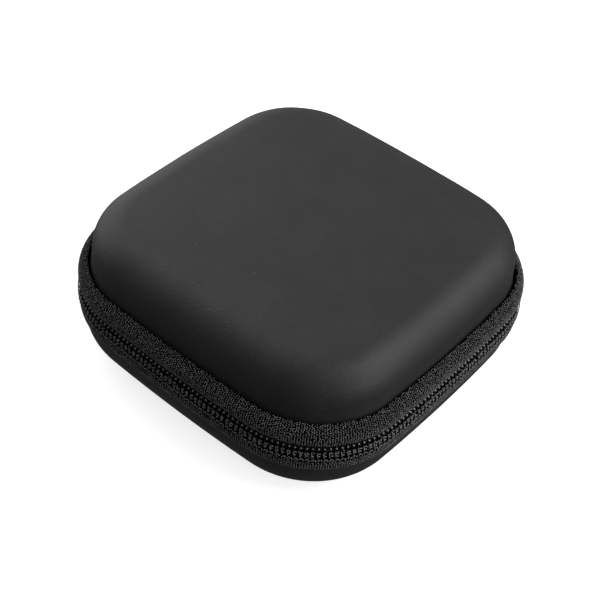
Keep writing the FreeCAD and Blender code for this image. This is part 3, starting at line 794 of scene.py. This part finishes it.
def build_lock_stitches():
    """Thread that sews the lower coil to its tape, with the same strokes for every tooth."""
    start = run_to(CORNER_COIL_END)
    teeth = int((PERIMETER - run_to(LID_COIL_END) - start) / COIL_PITCH) - BARE_TEETH
    seats = (start + (np.arange(teeth) + STROKE_PHASE) * COIL_PITCH)[:, None]
    paths = []
    for stroke in STROKES:
        past, depth = np.array(stroke).T
        distance = seats + past + STROKE_SHIFT * random.standard_normal((teeth, 1))
        height = -(depth + STROKE_SHIFT * random.standard_normal((teeth, 1)))
        inset = surface_inset(BASE_TAPE, height) - STROKE_PROUD
        paths.append(place(distance.ravel(), inset.ravel(), height.ravel()).reshape(*distance.shape, 3))
    piece = tubes("base_coil_stitching", np.concatenate(paths), STROKE_RADIUS, STROKE_REFERENCE)
    set_relief(piece, np.ones(len(piece.data.vertices)))
    dress(face_outwards(piece), TAPE, "zip_tape", "base")


# --- binding and seams
BINDING_COLUMNS = 1500
BINDING_WRAP = 0.65  # from the lining to the ribbon's fold
RIBBON_STEP = 0.22
RIBBON_RIB = 0.62  # pitch of the ribbon's ribs
RIBBON_DEPTH = 0.06
SEAM_PROUD = 0.5  # from the fold inwards
SEAM_PITCH = 2.8
STITCH_LENGTH = 1.9
STITCH_RADIUS = 0.17
STITCH_POINTS = 9
STITCH_SIDES = 8
STITCH_RISE = 0.16  # of a stitch's middle over the cloth
STITCH_DIVE = 0.42  # of its ends under its middle
STITCH_SLANT = 0.12


def build_bindings():
    """Ribbon folded over the cut rim of each half, ribbed across, and the row of stitches through it."""
    for half, sign in (("lid", 1), ("base", -1)):
        node_name = half + "_edge_binding"
        inset, near, far = depth_range(node_name)
        wall = reach(half + "_lining")[0] + BINDING_WRAP
        corners = [(inset + 0.3, near + 0.25), (inset + 0.35, near + 0.04), (wall - 1.2, near),
                   (wall - 0.1, near), (wall + 0.4, near + 0.15), (wall + 0.55, near + 0.7),
                   (wall + 0.5, far - 0.6), (wall + 0.42, far), (wall + 0.15, far),
                   (wall + 0.12, near + 0.6), (wall - 0.2, near + 0.32)]
        profile = smooth_profile(corners, RIBBON_STEP, closed=True)
        profile[:, 1] *= sign
        distances = np.arange(0, PERIMETER, PERIMETER / BINDING_COLUMNS)
        rib = np.abs(np.sin(math.pi * distances / RIBBON_RIB))[:, None] ** 0.7 * np.ones(len(profile))
        weave = rib * (0.85 + 0.15 * np.sin(np.arange(len(profile)) * 1.9 + 3 * np.sin(distances)[:, None]))
        turn = np.sign(signed_area(profile))
        piece = sweep(node_name + "_ribbon", distances, profile, relief=-turn * RIBBON_DEPTH * weave,
                      closed_path=True)
        # Painted shade: the ribbon's colour also darkens in the troughs of its ribs.
        set_relief(piece, weave)
        dress(face_outwards(piece), RIBBON, "binding_ribbon", half, node_name)
        stitches(half + "_seam_stitches", half, half + "_seam_thread", wall + SEAM_PROUD)


def stitches(name, half, node_name, surface, first=0.0, last=PERIMETER, outward=False):
    """Row of sewn stitches: each a strand that dives into the cloth at both ends."""
    _, low, high = reach(node_name)
    count = int((last - first) / SEAM_PITCH)
    middle = first + (np.arange(count) + 0.5) * (last - first) / count
    t = np.linspace(-0.5, 0.5, STITCH_POINTS)
    distance = middle[:, None] + t * STITCH_LENGTH + 0.04 * random.standard_normal((count, 1))
    rise = (STITCH_RISE - STITCH_DIVE * (2 * np.abs(t)) ** 4)[None] * np.ones((count, 1))
    inset = surface + rise * (-1 if outward else 1)
    height = (low + high) / 2 + 0.05 * random.standard_normal((count, 1)) + STITCH_SLANT * t[None]
    paths = place(distance.ravel(), inset.ravel(), height.ravel()).reshape(count, STITCH_POINTS, 3)
    ply = np.arange(STITCH_POINTS)[None, :, None] * 2.4 + np.arange(STITCH_SIDES) * 0.8
    twist = 0.5 + 0.5 * np.sin(ply) * np.ones((count, 1, 1))
    piece = tubes(name, paths, STITCH_RADIUS, (0.0, 0.0, 1.0), sides=STITCH_SIDES)
    # Painted shade: the thread's colour darkens in stripes along its twist, where its plies would dip.
    set_relief(piece, twist)
    dress(face_outwards(piece), THREAD, "thread", half, node_name)


# --- fabric hinge
# (inset, height over the zip plane) round the strip: outer side from top to bottom, then the back
HINGE_OUTER = [(2.35, 5.15), (1.6, 5.1), (0.7, 4.75), (0.0, 4.0), (-0.3, 3.0), (-0.38, 1.5), (-0.38, 0.0),
               (-0.38, -1.5), (-0.36, -3.0), (-0.25, -4.4), (0.05, -5.3), (0.4, -5.65), (0.7, -5.6),
               (0.72, -5.0), (0.4, -4.2), (0.02, -3.0), (0.0, -1.5), (0.0, 0.0), (0.0, 1.5), (0.1, 2.8),
               (0.5, 3.6), (1.2, 4.2), (2.3, 4.6)]
HINGE_SHOWN = 13  # corners of the strip's outer side
HINGE_TRIM = 0.05
HINGE_SEED = 5
BACKING_INSET = 0.12
BACKING_PLY = 0.35
BACKING_RIPPLE = 0.04
BACKING_COLUMNS = 120
HINGE_SEAM = 15.4  # half length of the stitch rows
HINGE_SEAMS = (("lid", 0.3), ("base", -0.25))  # half, inset of the cloth there


def build_hinge():
    """Knitted strip over the back, its cloth backing, and the two stitch rows that hold it."""
    half_length = HALF_HINGE - HINGE_TRIM
    distances = np.arange(-half_length, half_length, FABRIC_STEP)
    outer = fabric("hinge_strip_knit", distances, HINGE_OUTER, HINGE_SHOWN, HINGE_SEED)
    dress(outer, TAPE, "zip_tape", None, "hinge_outer_strip")
    declare_strip(HINGE_OUTER[:HINGE_SHOWN])
    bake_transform(outer)
    _, bottom, top = reach("hinge_inner_strip")
    rows = np.linspace(bottom, top, 30)
    inset = BACKING_INSET + BACKING_RIPPLE * np.sin(rows * 2.1)
    profile = np.vstack([np.column_stack([inset, rows]), np.column_stack([inset + BACKING_PLY, rows])[::-1]])
    inner = sweep("hinge_backing_cloth", np.linspace(-half_length, half_length, BACKING_COLUMNS), profile)
    dress(face_outwards(inner), BACKING, "lining_fabric", None, "hinge_inner_strip")
    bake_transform(inner)
    for half, surface in HINGE_SEAMS:
        stitches(half + "_hinge_stitches", half, half + "_hinge_thread", surface,
                 first=-HINGE_SEAM, last=HINGE_SEAM, outward=True)


# --- net pocket
NET_PITCH = 1.14  # between strands
NET_STEP = 0.33  # along a strand
NET_RADIUS = 0.15
NET_CROSSING = 0.09  # rise and fall of a strand over the others
NET_SHADE = 0.7
NET_GRID = (41, 31)  # of the simulated cloth
MOUTH_HOLD = 0.97  # of the elastic, where sewing is 1
SAG_LIMITS = (-1.4, 0.3)
SLIP_LIMIT = 0.4
SETTLING_FRAMES = 20
NET_CLOTH = {"quality": 8, "mass": 0.004, "tension_stiffness": 20, "compression_stiffness": 20,
             "bending_stiffness": 0.05, "vertex_group_mass": "sewn"}


def net_outline():
    """Half width of the lining's hollow at each y, for a net that stops at the mouth."""
    inset = WIDTH / 2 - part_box("lid_net_pocket")[1].x / MM
    spot, normal = along(np.linspace(0, PERIMETER, 2000))
    rim = spot - inset * normal
    right = rim[rim[:, 0] > 0]
    right = right[np.argsort(right[:, 1])]
    return right[:, 1], right[:, 0]


def relax_net(columns, rows, place_point):
    """Hang the net's cloth: a grid pinned at its sewn sides, eased down by its own weight."""
    u, v = np.meshgrid(np.linspace(0, 1, columns), np.linspace(0, 1, rows), indexing="ij")
    points = place_point(u.ravel(), v.ravel())
    sheet = make_mesh("net_cloth", points, grid_quads(columns, rows, False, False))
    edge = (u.ravel() < 1e-6) | (u.ravel() > 1 - 1e-6) | (v.ravel() < 1e-6)
    mouth = np.flatnonzero((v.ravel() > 1 - 1e-6) & ~edge)
    pinned = sheet.vertex_groups.new(name="sewn")
    pinned.add([int(i) for i in np.flatnonzero(edge)], 1.0, "ADD")
    pinned.add([int(i) for i in mouth], MOUTH_HOLD, "ADD")
    cloth = sheet.modifiers.new("cloth", "CLOTH")
    for setting, value in NET_CLOTH.items():
        setattr(cloth.settings, setting, value)
    scene = bpy.context.scene
    for step in range(1, SETTLING_FRAMES + 1):
        scene.frame_set(step)
    settled = sheet.evaluated_get(bpy.context.evaluated_depsgraph_get()).to_mesh()
    found = np.zeros(len(settled.vertices) * 3, np.float32)
    settled.vertices.foreach_get("co", found)
    drop = found.reshape(-1, 3) / MM - points
    scene.frame_set(1)
    bpy.data.objects.remove(sheet)
    drop[:, 2] = np.clip(drop[:, 2], *SAG_LIMITS)
    drop[:, :2] = np.clip(drop[:, :2], -SLIP_LIMIT, SLIP_LIMIT)
    return drop.reshape(columns, rows, 3)


def bilinear(field, u, v):
    """Values of a grid of points at places u and v across it, both 0 to 1."""
    columns, rows = field.shape[:2]
    x = np.clip(u, 0, 1) * (columns - 1)
    y = np.clip(v, 0, 1) * (rows - 1)
    i = np.minimum(x.astype(int), columns - 2)
    j = np.minimum(y.astype(int), rows - 2)
    fx, fy = (x - i)[:, None], (y - j)[:, None]
    return (field[i, j] * (1 - fx) * (1 - fy) + field[i + 1, j] * fx * (1 - fy)
            + field[i, j + 1] * (1 - fx) * fy + field[i + 1, j + 1] * fx * fy)


def net_strands(front, mouth, level, half_width_at, drop):
    """Paths of the strands that run one way and the other, cut at the net's outline."""
    strands = []
    diagonal = NET_PITCH * math.sqrt(2)
    for way in (1, -1):
        for offset in np.arange(-80, 80, diagonal):
            run = np.arange(-70, 70, NET_STEP)
            x = offset + run / math.sqrt(2)
            y = way * run / math.sqrt(2)
            inside = (y > front) & (y < mouth) & (np.abs(x) < half_width_at(y) - 0.1)
            if inside.sum() < 4:
                continue
            x, y = x[inside], y[inside]
            sag = bilinear(drop, (x / half_width_at(y) + 1) / 2, (y - front) / (mouth - front))
            weave = way * NET_CROSSING * np.sin(math.pi * (x + y) / diagonal)
            strands.append(np.column_stack([x, y, np.full(len(x), level) + weave]) + sag)
    return strands


def build_net():
    """Diamond net of yarn over the lid's hollow, hanging between its sewn sides."""
    low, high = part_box("lid_net_pocket")
    ys, xs = net_outline()
    front, mouth = low.y / MM + 0.1, high.y / MM
    level = (low.z + high.z) / 2 / MM

    def half_width_at(y):
        return np.interp(y, ys, xs)

    def place_point(u, v):
        y = front + v * (mouth - front)
        x = (2 * u - 1) * (half_width_at(y) - 0.05)
        return np.column_stack([x, y, np.full(len(x), level)])

    drop = relax_net(*NET_GRID, place_point)
    strands = net_strands(front, mouth, level, half_width_at, drop)
    meshes = [tubes("net_strand", path[None], NET_RADIUS, (0.0, 0.0, 1.0), sides=5) for path in strands]
    net = join("lid_net", meshes)
    set_relief(net, np.full(len(net.data.vertices), NET_SHADE))
    dress(net, NET, "net", "lid", "lid_net_pocket")


# --- elastic of the net's mouth
ELASTIC_SIDES = 28
ELASTIC_STEP = 0.11
ELASTIC_RIB = 0.66
RIB_SHARE = 0.14  # of the elastic's thickness


def build_elastic():
    """Ribbed elastic that hems the net's mouth, slightly gathered along its length."""
    low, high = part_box("lid_pocket_elastic")
    middle = (low + high) / 2 / MM
    half = (high - low) / 2 / MM
    x = np.arange(low.x / MM + 0.05, high.x / MM - 0.05, ELASTIC_STEP)
    turn = np.linspace(0, 2 * math.pi, ELASTIC_SIDES, endpoint=False)
    across = np.sign(np.cos(turn)) * np.abs(np.cos(turn)) ** 0.5
    up = np.sign(np.sin(turn)) * np.abs(np.sin(turn)) ** 0.8
    rib = np.abs(np.sin(math.pi * x / ELASTIC_RIB))[:, None] * np.ones(ELASTIC_SIDES)
    gather = 1 + 0.05 * np.sin(x * 1.7)[:, None] + 0.03 * np.sin(x * 4.1 + 1)[:, None]
    y = middle.y + across * (half.y - 0.15) * gather
    z = middle.z + up * (half.z - 0.06) * (1 - RIB_SHARE + RIB_SHARE * rib)
    points = np.stack([np.broadcast_to(x[:, None], y.shape), y, z], 2).reshape(-1, 3)
    quads = grid_quads(len(x), ELASTIC_SIDES, False, True)
    last = len(points) - 1
    caps = [list(range(ELASTIC_SIDES)), list(range(last, last - ELASTIC_SIDES, -1))]
    piece = make_mesh("pocket_elastic_ribbed", points, quads, caps)
    # Painted shade: the elastic's colour also darkens in the troughs of its ribs.
    set_relief(piece, rib)
    dress(face_outwards(piece), ELASTIC, "elastic", "lid", "lid_pocket_elastic")


# --- slider and pull
GRIP_RIDGES = 7
RIDGE_DEPTH = 0.32
RIDGED_MIDDLE = 0.42  # of the grip's length


def soften(name, new_name, voxel, rounds, made, slot, body, change=None):
    """Cast or moulded version of a CAD piece: the same shape with soft edges."""
    piece = add_object(new_name, frame["nodes"][name].data.copy())
    remesh = piece.modifiers.new("remesh", "REMESH")
    remesh.mode = "VOXEL"
    remesh.voxel_size = voxel * MM
    smooth = piece.modifiers.new("smooth", "SMOOTH")
    smooth.factor = 0.5
    smooth.iterations = rounds
    graph = bpy.context.evaluated_depsgraph_get()
    mesh = bpy.data.meshes.new_from_object(piece.evaluated_get(graph))
    piece.modifiers.clear()
    piece.data = mesh
    mesh.shade_smooth()
    if change:
        change(mesh)
    dress(piece, made, slot, body, name)


def rib_grip(mesh):
    """Finger ridges across both flat faces of the grip."""
    low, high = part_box("pull_grip")
    middle = (low + high) / 2
    co = np.zeros(len(mesh.vertices) * 3, np.float32)
    mesh.vertices.foreach_get("co", co)
    co = co.reshape(-1, 3)
    along_pull = (co[:, 1] - low.y) / (high.y - low.y)
    face = np.clip(np.abs(co[:, 0] - middle.x) / (high.x - middle.x), 0, 1) ** 3
    inside = np.clip(1 - (np.abs(co[:, 2] - middle.z) / (high.z - middle.z) / 0.8) ** 6, 0, 1)
    window = np.clip((0.5 - np.abs(along_pull - RIDGED_MIDDLE)) * 6 - 1.1, 0, 1)
    ridge = 0.5 + 0.5 * np.cos(along_pull * 2 * math.pi * GRIP_RIDGES)
    co[:, 0] -= np.sign(co[:, 0] - middle.x) * RIDGE_DEPTH * MM * face * inside * window * ridge
    mesh.vertices.foreach_set("co", co.ravel())
    mesh.update()


def build_metalwork():
    """Slider, pull and stops, with the soft edges of castings and mouldings."""
    soften("zipper_slider", "slider_casting", 0.11, 3, METAL, "slider_metal", "slider")
    soften("pull_plate", "pull_stamping", 0.1, 3, METAL, "slider_metal", "pull")
    soften("pull_grip", "pull_moulding", 0.13, 5, RUBBER, "grip_rubber", "pull", rib_grip)
    for half in ("lid", "base"):
        soften(half + "_zipper_stops", half + "_stop_clamps", 0.07, 3, METAL, "slider_metal", half)


# --- studio
CAMERA_BEARING = -53.84  # degrees
CAMERA_RISE = 43.18
CAMERA_ROLL = -6.29
CAMERA_DISTANCE = 269.7
LENS = 77.26
SENSOR = 36.0
LENS_SHIFT = (-0.0052, -0.0368)
LIGHT_DISTANCE = 0.9  # metres
# name, bearing from the camera and rise in degrees, size in metres, watts
LIGHTS = [("right_box", 90, 45, 0.6, 3.55),
          ("right_low_box", 90, 20, 0.7, 1.39),
          ("right_high_box", 90, 65, 0.5, 0.78),
          ("right_back_box", 135, 45, 0.6, 0.44),
          ("back_box", 180, 20, 0.7, 0.49),
          ("left_back_box", -135, 20, 1.1, 4.6),
          ("left_high_box", -135, 45, 0.6, 0.9),
          ("left_box", -90, 20, 0.7, 0.45),
          ("front_box", 45, 30, 0.7, 0.8),
          ("near_right_low_box", 62, 8, 0.45, 1.9)]
WORLD_LIGHT = 0.145
FLOOR_HALF = 3  # metres
FLOOR_GLOW = 0.75


def direction(bearing, rise):
    """Unit vector from the case towards a bearing and a rise, both in radians."""
    return Vector((math.sin(bearing) * math.cos(rise), -math.cos(bearing) * math.cos(rise), math.sin(rise)))


def place_camera():
    """Camera round the middle of the zip plane, rolled about its own axis."""
    bearing, rise, roll = (math.radians(x) for x in (CAMERA_BEARING, CAMERA_RISE, CAMERA_ROLL))
    back = direction(bearing, rise)
    right = Vector((math.cos(bearing), math.sin(bearing), 0))
    up = back.cross(right)
    turned_right = right * math.cos(roll) - up * math.sin(roll)
    turned_up = right * math.sin(roll) + up * math.cos(roll)
    lens = bpy.data.cameras.new("camera")
    camera = add_object("camera", lens)
    pose = Matrix((turned_right, turned_up, back)).transposed().to_4x4()
    pose.translation = Vector((0, 0, ZIP * MM)) + back * CAMERA_DISTANCE * MM
    camera.matrix_world = pose
    lens.lens = LENS
    lens.sensor_width = SENSOR
    lens.clip_start = 0.01
    lens.shift_x, lens.shift_y = LENS_SHIFT
    bpy.context.scene.camera = camera


def softbox(name, bearing, rise, size, watts):
    """Square soft light; bearing 0 is behind the camera, 90 to its right."""
    way = direction(math.radians(CAMERA_BEARING + bearing), math.radians(rise))
    light = bpy.data.lights.new(name, "AREA")
    light.energy = watts
    light.size = size
    lamp = add_object(name, light)
    lamp.location = way * LIGHT_DISTANCE
    lamp.rotation_euler = way.to_track_quat("Z", "Y").to_euler()


def build_floor():
    """White sheet of paper that the case stands on, bright by itself and without bounce."""
    mesh = bpy.data.meshes.new("floor")
    far = FLOOR_HALF
    mesh.from_pydata([(-far, -far, 0), (far, -far, 0), (far, far, 0), (-far, far, 0)], [], [(0, 1, 2, 3)])
    floor = add_object("floor", mesh)
    made, tree, shader = material("paper", (0.9, 0.9, 0.9), 0.9, 0.1)
    wire(tree, shader, ramp(tree, noise(tree, 30.0, 2.0), 0.2, 0.8, (0.88, 0.88, 0.88), (0.92, 0.92, 0.92)))
    shader.inputs["Emission Color"].default_value = (1, 1, 1, 1)
    shader.inputs["Emission Strength"].default_value = FLOOR_GLOW
    mesh.materials.append(made)
    floor.visible_glossy = False
    floor.visible_diffuse = False


def build_studio():
    """Camera, softboxes, even light from all round, and the floor."""
    place_camera()
    for light in LIGHTS:
        softbox(*light)
    world = bpy.data.worlds.new("studio")
    bpy.context.scene.world = world
    world.use_nodes = True
    background = world.node_tree.nodes["Background"]
    background.inputs["Color"].default_value = (0.9, 0.9, 0.9, 1)
    background.inputs["Strength"].default_value = WORLD_LIGHT
    build_floor()
    bpy.context.scene.view_settings.view_transform = "Standard"


build_halves()
build_tapes()
build_coils()
build_lock_stitches()
build_bindings()
build_hinge()
build_net()
build_elastic()
build_metalwork()
build_studio()
